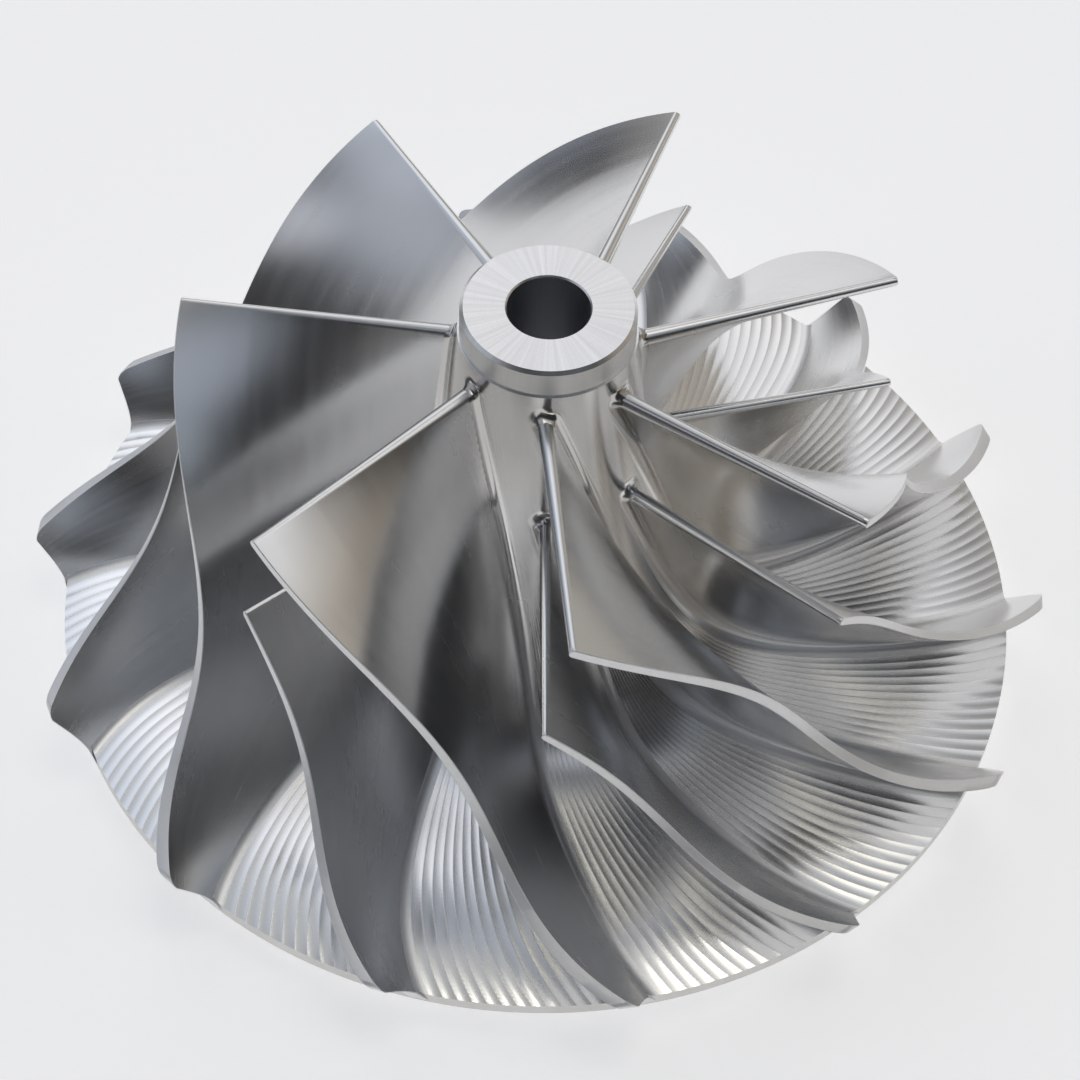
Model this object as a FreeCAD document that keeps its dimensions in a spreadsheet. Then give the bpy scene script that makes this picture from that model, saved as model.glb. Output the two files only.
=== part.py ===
import FreeCAD, Part
import Sketcher
import math
import os

# A centrifugal compressor wheel milled from one block of aluminium.
# The axis is +Z, the nose is up, and the origin is the centre of the flat boss that the wheel rests on.
# Lengths are millimetres and angles are degrees. Angles round the axis count counter-clockwise from +X,
# seen from the nose. Heights on the blades count from the back face of the disc.
SIZES = [
    ("bore_radius", 4.0, "through bore for the shaft"),
    ("bore_mouth", 0.15, "chamfer at the upper mouth of the bore"),
    ("bore_lead_in", 0.4, "chamfer at the lower mouth of the bore"),
    ("boss_radius", 12.0, "flat boss under the disc"),
    ("boss_height", 3.0, "how far the boss stands out of the back face"),
    ("boss_fillet", 1.0, "fillet between boss and back face"),
    ("rim_radius", 50.0, "edge of the disc"),
    ("rim_wall", 1.55, "thickness of the disc at its edge"),
    ("rim_chamfer", 0.2, "chamfer under the edge of the disc"),
    ("hub_top_radius", 8.9, "hub where the full blades begin"),
    ("hub_top_height", 40.15, "height of that place"),
    ("hub_top_lean", 5.7, "angle of the hub line to the axis there"),
    ("hub_top_pull", 1.293, "how long the hub line keeps that direction, in hub heights"),
    ("hub_exit_slope", 9.7, "angle of the hub line to the disc at the rim"),
    ("hub_exit_pull", 0.623, "how long the hub line keeps that direction, in hub widths"),
    ("neck_length", 2.3, "hub between the full blades and the collar"),
    ("collar_length", 3.2, "turned collar that the nut sits on"),
    ("collar_radius", 8.46, "radius of the collar"),
    ("collar_chamfer", 0.33, "chamfer round the end of the collar"),
    ("inducer_radius", 36.0, "outer edge of the blades at the inlet"),
    ("inlet_drop", 0.6, "how far the leading edge falls from the hub to its outer corner"),
    ("inlet_straight", 7.3, "straight length of the outer edge under that corner"),
    ("shroud_turn_pull", 0.631, "how long the outer edge keeps to the axis, in heights of its curve"),
    ("tip_overhang", 3.45, "how far the blade tips stand out past the rim"),
    ("tip_height", 6.2, "height of the outer edge at the outlet"),
    ("shroud_exit_slope", 17.2, "angle of the outer edge to the disc at the outlet"),
    ("shroud_exit_pull", 0.79, "how long the outer edge keeps that direction, in widths of its curve"),
    ("tip_corner", 0.5, "rounded corner of the blades at the outlet"),
    ("tip_foot_height", 0.4, "height on the rim where the hollow trailing edges leave it"),
    ("tip_foot_pull", 0.35, "how long they keep to the axis there, in heights of their curve"),
    ("tip_lean", 38.0, "angle of the trailing edges to the axis at the outer edge"),
    ("tip_lean_pull", 0.35, "how long they keep that direction, in heights of their curve"),
    ("blade_count", 7, "full blades, and as many splitter blades"),
    ("full_start", -85.1, "angle round the axis of the first full blade's outer leading corner"),
    ("full_root_lead", -5.9, "how far its inner leading corner lies from the outer one"),
    ("full_outer_wrap", 57.4, "sweep round the axis along the outer edge"),
    ("full_root_wrap", 65.6, "sweep round the axis along the hub"),
    ("full_outer_inlet", 63.1, "blade angle to the axis at the outer leading corner"),
    ("full_outer_exit", 52.8, "blade angle to the radius at the outer trailing corner"),
    ("full_root_inlet", 19.8, "blade angle to the axis at the inner leading corner"),
    ("full_root_exit", 27.3, "blade angle to the radius at the inner trailing corner"),
    ("full_tip_thickness", 1.0, "blade thickness at the outer edge"),
    ("full_root_thickness", 1.7, "blade thickness at the hub"),
    ("splitter_setback", 13.2, "how far the splitters' leading edges lie under the top of the hub"),
    ("splitter_start", -88.4, "angle round the axis of the first splitter's outer leading corner"),
    ("splitter_root_lead", 0.4, "how far its inner leading corner lies from the outer one"),
    ("splitter_outer_wrap", 34.8, "sweep round the axis along the outer edge"),
    ("splitter_root_wrap", 37.1, "sweep round the axis along the hub"),
    ("splitter_outer_inlet", 51.0, "blade angle to the axis at the outer leading corner"),
    ("splitter_outer_exit", 53.5, "blade angle to the radius at the outer trailing corner"),
    ("splitter_root_inlet", 15.5, "blade angle to the axis at the inner leading corner"),
    ("splitter_root_exit", 35.3, "blade angle to the radius at the inner trailing corner"),
    ("splitter_tip_thickness", 0.8, "blade thickness at the outer edge"),
    ("splitter_root_thickness", 1.4, "blade thickness at the hub"),
    ("root_fillet", 1.2, "fillet between blades and hub"),
    ("blade_stock", 2.3, "spare metal past the hub line and the outer edge before trimming"),
]
STATIONS = 12

doc = FreeCAD.newDocument("compressor_wheel")
sheet = doc.addObject("Spreadsheet::Sheet", "Sizes")
for row, (alias, value, meaning) in enumerate(SIZES, 1):
    sheet.set("A%d" % row, alias)
    sheet.set("B%d" % row, str(value))
    sheet.set("C%d" % row, meaning)
    sheet.setAlias("B%d" % row, alias)
doc.recompute()


def size(alias):
    return float(sheet.get(alias))


def profile_sketch(body, name, outline):
    """Draws a closed profile in the body's XZ plane.

    outline lists the corners in order as (x, y) expressions. A corner followed by two
    more pairs starts a curve that leaves towards the first pair and arrives from the second.
    """
    sketch = body.newObject("Sketcher::SketchObject", name)
    plane = [f for f in body.Origin.OriginFeatures if f.Role == "XZ_Plane"][0]
    sketch.AttachmentSupport = [(plane, "")]
    sketch.MapMode = "FlatFace"

    def place(pair):
        return FreeCAD.Vector(*[float(sheet.evalExpression(text)) for text in pair], 0)

    def bind(geometry, point, pair):
        for kind, text in zip(("DistanceX", "DistanceY"), pair):
            index = sketch.addConstraint(
                Sketcher.Constraint(kind, -1, 1, geometry, point, float(sheet.evalExpression(text))))
            sketch.setExpression("Constraints[%d]" % index, text)

    edges = []
    for here, after in zip(outline, outline[1:] + outline[:1]):
        if len(here) == 1:
            edges.append(sketch.addGeometry(Part.LineSegment(place(here[0]), place(after[0]))))
            continue
        curve = Part.BSplineCurve()
        poles = [place(pair) for pair in here] + [place(after[0])]
        curve.buildFromPolesMultsKnots(poles, [4, 4], [0, 1], False, 3)
        edge = sketch.addGeometry(curve)
        edges.append(edge)
        sketch.exposeInternalGeometry(edge)
        bind(edge + 2, 3, here[1])
        bind(edge + 3, 3, here[2])
    for here, edge, after in zip(outline, edges, edges[1:] + edges[:1]):
        bind(edge, 1, here[0])
        sketch.addConstraint(Sketcher.Constraint("Coincident", edge, 2, after, 1))
    return sketch


def turned_body(name, outline):
    body = doc.addObject("PartDesign::Body", name)
    sketch = profile_sketch(body, name + "_profile", outline)
    turned = body.newObject("PartDesign::Revolution", name + "_turned")
    turned.Profile = sketch
    turned.ReferenceAxis = (sketch, ["V_Axis"])
    turned.Angle = 360
    doc.recompute()
    return body


def round_ring(body, name, radius, height, fillet):
    """Fillets the circular edge of a turned body that lies at a radius and height."""
    base = body.Tip
    wanted = [
        "Edge%d" % number for number, edge in enumerate(base.Shape.Edges, 1)
        if isinstance(edge.Curve, Part.Circle)
        and abs(edge.Curve.Radius - radius) < 1e-4 and abs(edge.Curve.Center.z - height) < 1e-4]
    feature = body.newObject("PartDesign::Fillet", name)
    feature.Base = (base, wanted)
    feature.setExpression("Radius", fillet)
    doc.recompute()


def from_disc(text):
    return "Sizes.boss_height + " + text


def pole(point, length, angle, across, up):
    """A pole at a length and an angle from a point, towards across (+ or -) and up (+ or -)."""
    return (
        "%s %s %s * cos(%s * 1 deg)" % (point[0], across, length, angle),
        "%s %s %s * sin(%s * 1 deg)" % (point[1], up, length, angle))


HUB_TOP = ("Sizes.hub_top_radius", from_disc("Sizes.hub_top_height"))
HUB_EXIT = ("Sizes.rim_radius", from_disc("Sizes.rim_wall"))
HUB_TOP_POLE = pole(
    HUB_TOP, "Sizes.hub_top_pull * Sizes.hub_top_height", "(90 - Sizes.hub_top_lean)", "+", "-")
HUB_EXIT_POLE = pole(
    HUB_EXIT, "Sizes.hub_exit_pull * (Sizes.rim_radius - Sizes.hub_top_radius)",
    "Sizes.hub_exit_slope", "-", "+")

TIP_RADIUS = "Sizes.rim_radius + Sizes.tip_overhang"
INLET_TIP = "Sizes.hub_top_height - Sizes.inlet_drop"
SHROUD_RISE = INLET_TIP + " - Sizes.inlet_straight - Sizes.tip_height"
SHROUD_TOP = ("Sizes.inducer_radius", from_disc(INLET_TIP))
SHROUD_TURN = ("Sizes.inducer_radius", from_disc(INLET_TIP + " - Sizes.inlet_straight"))
SHROUD_EXIT = (TIP_RADIUS, from_disc("Sizes.tip_height"))
SHROUD_TURN_POLE = (
    "Sizes.inducer_radius", SHROUD_TURN[1] + " - Sizes.shroud_turn_pull * (%s)" % SHROUD_RISE)
SHROUD_EXIT_POLE = pole(
    SHROUD_EXIT, "Sizes.shroud_exit_pull * (%s - Sizes.inducer_radius)" % TIP_RADIUS,
    "Sizes.shroud_exit_slope", "-", "+")

COLLAR_FOOT = from_disc("Sizes.hub_top_height + Sizes.neck_length")
NOSE = COLLAR_FOOT + " + Sizes.collar_length"
NECK = (
    "Sizes.hub_top_radius - Sizes.neck_length * tan(Sizes.hub_top_lean * 1 deg)", COLLAR_FOOT)
TIP_FOOT = ("Sizes.rim_radius", from_disc("Sizes.tip_foot_height"))
TIP_RISE = "(Sizes.tip_height - Sizes.tip_foot_height)"
TIP_FOOT_POLE = ("Sizes.rim_radius", TIP_FOOT[1] + " + Sizes.tip_foot_pull * " + TIP_RISE)
TIP_POLE = pole(SHROUD_EXIT, "Sizes.tip_lean_pull * " + TIP_RISE, "(90 - Sizes.tip_lean)", "-", "-")
CORE = "(Sizes.bore_radius + Sizes.hub_top_radius) / 2"

# The turned hub, from the bore round the boss, the disc, the hub line and the collar.
hub = turned_body("hub", [
    [("Sizes.bore_radius", "Sizes.bore_lead_in")],
    [("Sizes.bore_radius + Sizes.bore_lead_in", "0")],
    [("Sizes.boss_radius", "0")],
    [("Sizes.boss_radius", "Sizes.boss_height")],
    [("Sizes.rim_radius - Sizes.rim_chamfer", "Sizes.boss_height")],
    [("Sizes.rim_radius", from_disc("Sizes.rim_chamfer"))],
    [HUB_EXIT, HUB_EXIT_POLE, HUB_TOP_POLE],
    [HUB_TOP],
    [NECK],
    [("Sizes.collar_radius", COLLAR_FOOT)],
    [("Sizes.collar_radius", NOSE + " - Sizes.collar_chamfer")],
    [("Sizes.collar_radius - Sizes.collar_chamfer", NOSE)],
    [("Sizes.bore_radius + Sizes.bore_mouth", NOSE)],
    [("Sizes.bore_radius", NOSE + " - Sizes.bore_mouth")],
])
round_ring(hub, "boss_root", size("boss_radius"), size("boss_height"), "Sizes.boss_fillet")

# The turned outline of the blades: the block was turned to this before the blades were milled.
# Its inner wall lies inside the hub, so no blade reaches the bore.
envelope = turned_body("blade_envelope", [
    [(CORE, from_disc("Sizes.rim_chamfer"))],
    [("Sizes.rim_radius", from_disc("Sizes.rim_chamfer"))],
    [TIP_FOOT, TIP_FOOT_POLE, TIP_POLE],
    [SHROUD_EXIT, SHROUD_EXIT_POLE, SHROUD_TURN_POLE],
    [SHROUD_TURN],
    [("Sizes.inducer_radius", NOSE)],
    [(CORE, NOSE)],
])
round_ring(envelope, "tip_corners", size("rim_radius") + size("tip_overhang"),
           size("boss_height") + size("tip_height"), "Sizes.tip_corner")


def plane_point(pair):
    across, up = [float(sheet.evalExpression(text)) for text in pair]
    return FreeCAD.Vector(across, 0, up)


def edge_line(points):
    """A line in the XZ plane through a run of corners and at most one curve at its end."""
    *corners, pole_1, pole_2, end = [plane_point(pair) for pair in points]
    edges = [Part.LineSegment(a, b).toShape() for a, b in zip(corners, corners[1:])]
    curve = Part.BezierCurve()
    curve.setPoles([corners[-1], pole_1, pole_2, end])
    past_end = end + (end - pole_2).normalize() * size("blade_stock")
    return Part.Wire(edges + [curve.toShape(), Part.LineSegment(end, past_end).toShape()])


def part_below(wire, height):
    """The stretch of an edge line from a height down to its end."""
    box = Part.makeBox(400, 2, 400, FreeCAD.Vector(0, -1, height - 400))
    return Part.Wire(Part.__sortEdges__(wire.common(box).Edges))


hub_line = edge_line([HUB_TOP, HUB_TOP_POLE, HUB_EXIT_POLE, HUB_EXIT])
shroud_line = edge_line([SHROUD_TOP, SHROUD_TURN, SHROUD_TURN_POLE, SHROUD_EXIT_POLE, SHROUD_EXIT])


def point_at(line, distance):
    for edge in line.Edges:
        if distance <= edge.Length:
            return edge.valueAt(edge.getParameterByLength(max(distance, 0)))
        distance -= edge.Length
    return edge.valueAt(edge.LastParameter)


def middle_line(line, start, wrap, inlet, outlet, nose):
    """Points and directions of a blade's middle line on a surface of revolution.

    The sweep angle is a cubic of the length along the line that starts and ends at the
    blade angles. The points begin where the rounded leading edge ends, and the last ones
    lie in the spare metal past the trailing edge.
    """
    run = line.Length - size("blade_stock")
    lead = nose * math.cos(math.radians(inlet))
    slope_in = math.degrees(math.tan(math.radians(inlet)) * run / point_at(line, 0).x)
    slope_out = math.degrees(math.tan(math.radians(outlet)) * run / point_at(line, run).x)
    points = []
    for station in range(STATIONS + 1):
        distance = lead + (line.Length - lead) * station / STATIONS
        share = distance / run
        sweep = (wrap * (3 - 2 * share) * share ** 2
                 + slope_in * share * (1 - share) ** 2 + slope_out * share ** 2 * (share - 1))
        place = point_at(line, distance)
        turn = FreeCAD.Rotation(FreeCAD.Vector(0, 0, 1), start + sweep)
        points.append(turn.multVec(place))
    curve = Part.BSplineCurve()
    curve.interpolate(points)
    directions = [curve.tangent(curve.parameter(point))[0] for point in points]
    return points, directions


def blade_stock(kind, roots, outers):
    """A ruled blade with a rounded leading edge, left long at the root, outer and trailing edges."""
    root_half = size(kind + "_root_thickness") / 2
    tip_half = size(kind + "_tip_thickness") / 2
    start = size(kind + "_start")
    root_points, root_directions = middle_line(
        roots, start + size(kind + "_root_lead"), size(kind + "_root_wrap"),
        size(kind + "_root_inlet"), size(kind + "_root_exit"), root_half)
    tip_points, tip_directions = middle_line(
        outers, start, size(kind + "_outer_wrap"),
        size(kind + "_outer_inlet"), size(kind + "_outer_exit"), tip_half)

    def lengthened(root, tip):
        spare = (tip - root).normalize() * size("blade_stock")
        return root - spare, tip + spare

    def flank(side):
        pairs = []
        for root, tip, along_root, along_tip in zip(
                root_points, tip_points, root_directions, tip_directions):
            across_root = (tip - root).cross(along_root).normalize()
            across_tip = (tip - root).cross(along_tip).normalize()
            pairs.append(lengthened(
                root + across_root * root_half * side, tip + across_tip * tip_half * side))
        return pairs

    ahead, behind = flank(1), flank(-1)
    front = lengthened(
        root_points[0] - root_directions[0] * root_half, tip_points[0] - tip_directions[0] * tip_half)

    def smooth(points):
        curve = Part.BSplineCurve()
        curve.interpolate(points)
        return curve.toShape()

    def ring(level):
        """The two flanks, the rounded front and the square back at one end of the rulings."""
        return [
            smooth([pair[level] for pair in ahead]),
            Part.Arc(ahead[0][level], front[level], behind[0][level]).toShape(),
            smooth([pair[level] for pair in behind]),
            Part.LineSegment(ahead[-1][level], behind[-1][level]).toShape()]

    low, high = ring(0), ring(1)
    faces = [Part.makeRuledSurface(a, b) for a, b in zip(low, high)]
    for edges in (low, high):
        chord = Part.LineSegment(edges[0].Vertexes[0].Point, edges[2].Vertexes[0].Point).toShape()
        faces.append(Part.makeRuledSurface(edges[0], edges[2]))
        faces.append(Part.Face(Part.Wire([edges[1], chord])))
    skin = Part.Compound(faces)
    skin.sewShape(0.001)
    return Part.Solid(skin)


splitter_from = size("boss_height") + size("hub_top_height") - size("splitter_setback")
lines = {
    "full": (hub_line, shroud_line),
    "splitter": (part_below(hub_line, splitter_from), part_below(shroud_line, splitter_from)),
}
trimmed = []
for kind, (roots, outers) in lines.items():
    stock = doc.addObject("Part::Feature", kind + "_blade_stock")
    stock.Shape = blade_stock(kind, roots, outers)
    blade = doc.addObject("Part::Common", kind + "_blade")
    blade.Base = stock
    blade.Tool = envelope
    trimmed.append(blade)
doc.recompute()

axis = FreeCAD.Vector(0, 0, 1)
count = int(size("blade_count"))
blades = []
for number in range(count):
    for blade in trimmed:
        copy = blade.Shape.copy()
        copy.rotate(FreeCAD.Vector(), axis, 360 * number / count)
        blades.append(copy)

milled = hub.Shape.Solids[0].fuse([blade.Solids[0] for blade in blades]).Solids[0]


def root_edges(solid):
    """The edges on the hub line where the milled flanks and noses of the blades rise from it."""
    floor = max(
        (face for face in solid.Faces if isinstance(face.Surface, Part.SurfaceOfRevolution)),
        key=lambda face: face.Area)
    return [
        edge for edge in floor.Edges
        if any(isinstance(face.Surface, Part.BSplineSurface)
               for face in solid.ancestorsOfType(edge, Part.Face))]


wheel = doc.addObject("Part::Feature", "compressor_wheel")
wheel.Shape = milled.makeFillet(size("root_fillet"), root_edges(milled)).Solids[0]
wheel.Label = "compressor_wheel"
wheel.Placement = FreeCAD.Placement()
doc.recompute()

for item in doc.Objects:
    if "Invalid" in item.State or "Error" in item.State:
        raise RuntimeError("%s failed: %s" % (item.Name, item.State))
if wheel.Shape.isNull() or not wheel.Shape.isValid() or len(wheel.Shape.Solids) != 1:
    raise RuntimeError("the wheel is not one valid solid")

os.makedirs("parts", exist_ok=True)
wheel.Shape.exportStep("parts/%s.step" % wheel.Label)
print("volume", round(wheel.Shape.Volume), "box", wheel.Shape.BoundBox)
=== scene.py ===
import math

import bmesh
import bpy
import numpy as np
from mathutils import Matrix, Vector


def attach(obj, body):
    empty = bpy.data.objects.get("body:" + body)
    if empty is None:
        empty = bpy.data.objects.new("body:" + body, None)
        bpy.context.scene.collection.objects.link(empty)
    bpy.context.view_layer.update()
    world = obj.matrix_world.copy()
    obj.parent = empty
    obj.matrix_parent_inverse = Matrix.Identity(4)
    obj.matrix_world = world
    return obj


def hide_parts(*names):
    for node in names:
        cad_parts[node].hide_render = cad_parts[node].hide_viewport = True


# A compressor wheel milled from one block of aluminium, nose up, on a white table.
# Lengths are millimetres and angles are degrees until a mesh is made. Round the axis, angles count
# counter-clockwise from +X, seen from the nose.
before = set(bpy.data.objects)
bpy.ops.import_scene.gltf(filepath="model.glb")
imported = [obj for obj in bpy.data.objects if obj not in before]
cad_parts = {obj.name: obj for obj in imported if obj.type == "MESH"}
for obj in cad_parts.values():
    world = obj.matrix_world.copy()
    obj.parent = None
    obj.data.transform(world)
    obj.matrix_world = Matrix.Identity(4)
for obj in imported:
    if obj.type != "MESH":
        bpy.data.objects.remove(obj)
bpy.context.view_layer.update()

BORE_RADIUS = 4.0
BORE_MOUTH = 0.15
BORE_LEAD_IN = 0.4
BOSS_RADIUS = 12.0
BOSS_HEIGHT = 3.0
BOSS_FILLET = 1.0
RIM_RADIUS = 50.0
RIM_WALL = 1.55
RIM_CHAMFER = 0.2
HUB_TOP_RADIUS = 8.9
HUB_TOP_HEIGHT = 40.15
HUB_TOP_LEAN = 5.7
HUB_TOP_PULL = 1.293
HUB_EXIT_SLOPE = 9.7
HUB_EXIT_PULL = 0.623
NECK_LENGTH = 2.3
COLLAR_LENGTH = 3.2
COLLAR_RADIUS = 8.46
COLLAR_CHAMFER = 0.33
INDUCER_RADIUS = 36.0
INLET_DROP = 0.6
INLET_STRAIGHT = 7.3
SHROUD_TURN_PULL = 0.631
TIP_OVERHANG = 3.45
TIP_HEIGHT = 6.2
SHROUD_EXIT_SLOPE = 17.2
SHROUD_EXIT_PULL = 0.79
TIP_CORNER = 0.5
TIP_FOOT_HEIGHT = 0.4
TIP_FOOT_PULL = 0.35
TIP_LEAN = 38.0
TIP_LEAN_PULL = 0.35
BLADE_COUNT = 7
SPLITTER_SETBACK = 13.2
ROOT_FILLET = 1.2
BLADE_STOCK = 2.3

FULL = {
    "start": -85.1, "root_lead": -5.9, "outer_wrap": 57.4, "root_wrap": 65.6,
    "outer_inlet": 63.1, "outer_exit": 52.8, "root_inlet": 19.8, "root_exit": 27.3,
    "tip_thickness": 1.0, "root_thickness": 1.7}
SPLITTER = {
    "start": -88.4, "root_lead": 0.4, "outer_wrap": 34.8, "root_wrap": 37.1,
    "outer_inlet": 51.0, "outer_exit": 53.5, "root_inlet": 15.5, "root_exit": 35.3,
    "tip_thickness": 0.8, "root_thickness": 1.4}

# The floor between two blades is left by a ball cutter in side-by-side passes, which fade out up the hub.
CHANNELS = 12
CHANNEL_STEPS = 4
CUTTER_RADIUS = 5.0
CHANNELS_END = 40.0
CHANNELS_FADE = 12.0
TICK_PITCH = 0.42
EDGE_BREAK = 0.07
BOSS_CHAMFER = 0.1
SUNK_INTO_HUB = 0.45
MARKS_PER_SECTOR = 40

RIM_TOP = BOSS_HEIGHT + RIM_WALL
COLLAR_FOOT = BOSS_HEIGHT + HUB_TOP_HEIGHT + NECK_LENGTH
NOSE = COLLAR_FOOT + COLLAR_LENGTH
TIP_RADIUS = RIM_RADIUS + TIP_OVERHANG
INLET_TIP = BOSS_HEIGHT + HUB_TOP_HEIGHT - INLET_DROP
SPLITTER_TOP = BOSS_HEIGHT + HUB_TOP_HEIGHT - SPLITTER_SETBACK
SECTOR = 2 * math.pi / BLADE_COUNT


def unit(vectors):
    return vectors / np.linalg.norm(vectors, axis=-1, keepdims=True)


def curve_points(start, start_pole, end_pole, end, count=3000):
    share = np.linspace(0, 1, count)[:, None]
    rest = 1 - share
    return (np.array(start) * rest ** 3 + 3 * np.array(start_pole) * rest ** 2 * share
            + 3 * np.array(end_pole) * rest * share ** 2 + np.array(end) * share ** 3)


def pole(point, length, angle, across, up):
    turn = math.radians(angle)
    return (point[0] + across * length * math.cos(turn), point[1] + up * length * math.sin(turn))


class EdgeLine:
    """A turned outline as points of radius and height, with lengths counted along it.

    It runs on straight past its end by the spare metal that the blades are trimmed from.
    """

    def __init__(self, points):
        ahead = unit(points[-1] - points[-2])
        self.points = np.vstack([points, points[-1] + ahead * BLADE_STOCK])
        steps = np.hypot(*np.diff(self.points, axis=0).T)
        self.along = np.concatenate([[0], np.cumsum(steps)])
        self.length = self.along[-1]
        self.run = self.length - BLADE_STOCK

    def at(self, distance):
        return np.stack(
            [np.interp(distance, self.along, self.points[:, axis]) for axis in (0, 1)], -1)

    def below(self, height):
        """The stretch of the line from a height down to its end."""
        points = self.points[:-1]
        first = int(np.argmax(points[:, 1] < height))
        share = (height - points[first - 1, 1]) / (points[first, 1] - points[first - 1, 1])
        cut = points[first - 1] + (points[first] - points[first - 1]) * share
        return EdgeLine(np.vstack([cut, points[first:]]))


HUB_TOP = (HUB_TOP_RADIUS, BOSS_HEIGHT + HUB_TOP_HEIGHT)
HUB_EXIT = (RIM_RADIUS, RIM_TOP)
hub_line = EdgeLine(curve_points(
    HUB_TOP,
    pole(HUB_TOP, HUB_TOP_PULL * HUB_TOP_HEIGHT, 90 - HUB_TOP_LEAN, 1, -1),
    pole(HUB_EXIT, HUB_EXIT_PULL * (RIM_RADIUS - HUB_TOP_RADIUS), HUB_EXIT_SLOPE, -1, 1),
    HUB_EXIT))
SHROUD_TURN = (INDUCER_RADIUS, INLET_TIP - INLET_STRAIGHT)
SHROUD_EXIT = (TIP_RADIUS, BOSS_HEIGHT + TIP_HEIGHT)
shroud_line = EdgeLine(np.vstack([
    [(INDUCER_RADIUS, INLET_TIP)],
    curve_points(
        SHROUD_TURN,
        (INDUCER_RADIUS, SHROUD_TURN[1] - SHROUD_TURN_PULL * (SHROUD_TURN[1] - SHROUD_EXIT[1])),
        pole(SHROUD_EXIT, SHROUD_EXIT_PULL * (TIP_RADIUS - INDUCER_RADIUS), SHROUD_EXIT_SLOPE, -1, 1),
        SHROUD_EXIT)]))

NECK_RADIUS = HUB_TOP_RADIUS - NECK_LENGTH * math.tan(math.radians(HUB_TOP_LEAN))
NECK_RUN = math.hypot(HUB_TOP_RADIUS - NECK_RADIUS, NECK_LENGTH)


def rounded_corner(before, corner, after, radius, count=9):
    """Points of the arc that rounds a corner of an outline."""
    before, corner, after = [np.array(point, float) for point in (before, corner, after)]
    back, ahead = unit(before - corner), unit(after - corner)
    half = math.acos(float(back @ ahead)) / 2
    reach = radius / math.tan(half)
    weight = math.sin(half)
    share = np.linspace(0, 1, count)[:, None]
    lean = (1 - share) ** 2 + 2 * weight * share * (1 - share) + share ** 2
    return ((1 - share) ** 2 * (corner + back * reach) + 2 * weight * share * (1 - share) * corner
            + share ** 2 * (corner + ahead * reach)) / lean


TIP_FOOT = (RIM_RADIUS, BOSS_HEIGHT + TIP_FOOT_HEIGHT)
TIP_RISE = TIP_HEIGHT - TIP_FOOT_HEIGHT
tip_pole = pole(SHROUD_EXIT, TIP_LEAN_PULL * TIP_RISE, 90 - TIP_LEAN, -1, -1)
hollow = curve_points(
    TIP_FOOT, (RIM_RADIUS, TIP_FOOT[1] + TIP_FOOT_PULL * TIP_RISE), tip_pole, SHROUD_EXIT, 400)
tip_corner = rounded_corner(
    tip_pole, SHROUD_EXIT, pole(SHROUD_EXIT, 5, SHROUD_EXIT_SLOPE, -1, 1), TIP_CORNER, 25)
tip_line = np.vstack([[(RIM_RADIUS, 0)], hollow[hollow[:, 1] < tip_corner[0][1]], tip_corner])
CORNER_TOP = tip_corner[-1][1]


def rings(points):
    """Radius and height of points in space."""
    return np.hypot(points[..., 0], points[..., 1]), points[..., 2]


floor_outline = np.vstack([[(NECK_RADIUS - 0.01, 60)], [(NECK_RADIUS, COLLAR_FOOT)], hub_line.points])


def above_floor(points):
    """How far points lie over the hub line, run on past the rim."""
    radius, height = rings(points)
    return height - np.interp(radius, floor_outline[:, 0], floor_outline[:, 1])


def above_hub(points):
    """How far points lie over the hub, which ends at the rim."""
    radius, height = rings(points)
    return np.where(radius > RIM_RADIUS, 9.0, above_floor(points))


def past_shroud(points):
    radius, height = rings(points)
    outline = shroud_line.points[::-1]
    return radius - np.interp(height, outline[:, 1], outline[:, 0])


def crossing(low, high, side_of, nearest, furthest):
    """The share of each ruling, searched from nearest to furthest, at which side_of changes sign."""
    shares = np.linspace(nearest, furthest, 240)
    reach = (high - low)[:, None]
    sign = side_of(low[:, None] + reach * shares[:, None]) > 0
    change = sign != sign[:, :1]
    found = change.any(axis=1)
    step = np.argmax(change, axis=1)
    before, after = shares[np.maximum(step - 1, 0)], shares[step]
    for _ in range(30):
        middle = (before + after) / 2
        turned = (side_of(low + (high - low) * middle[:, None]) > 0) != sign[:, 0]
        after = np.where(turned, middle, after)
        before = np.where(turned, before, middle)
    return np.interp(np.arange(len(low)), np.arange(len(low))[found], after[found])


def middle_line(line, start, wrap, inlet, outlet, nose, share_of_length):
    """Points of a blade's middle line, whose sweep is a cubic of the length along the line."""
    lead = nose * math.cos(math.radians(inlet))
    distance = lead + (line.length - lead) * share_of_length
    share = distance / line.run
    slope_in = math.degrees(math.tan(math.radians(inlet)) * line.run / line.at(0.0)[0])
    slope_out = math.degrees(math.tan(math.radians(outlet)) * line.run / line.at(line.run)[0])
    sweep = (wrap * (3 - 2 * share) * share ** 2
             + slope_in * share * (1 - share) ** 2 + slope_out * share ** 2 * (share - 1))
    place = line.at(distance)
    turn = np.radians(start + sweep)
    return np.stack([place[:, 0] * np.cos(turn), place[:, 0] * np.sin(turn), place[:, 1]], -1)


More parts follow.
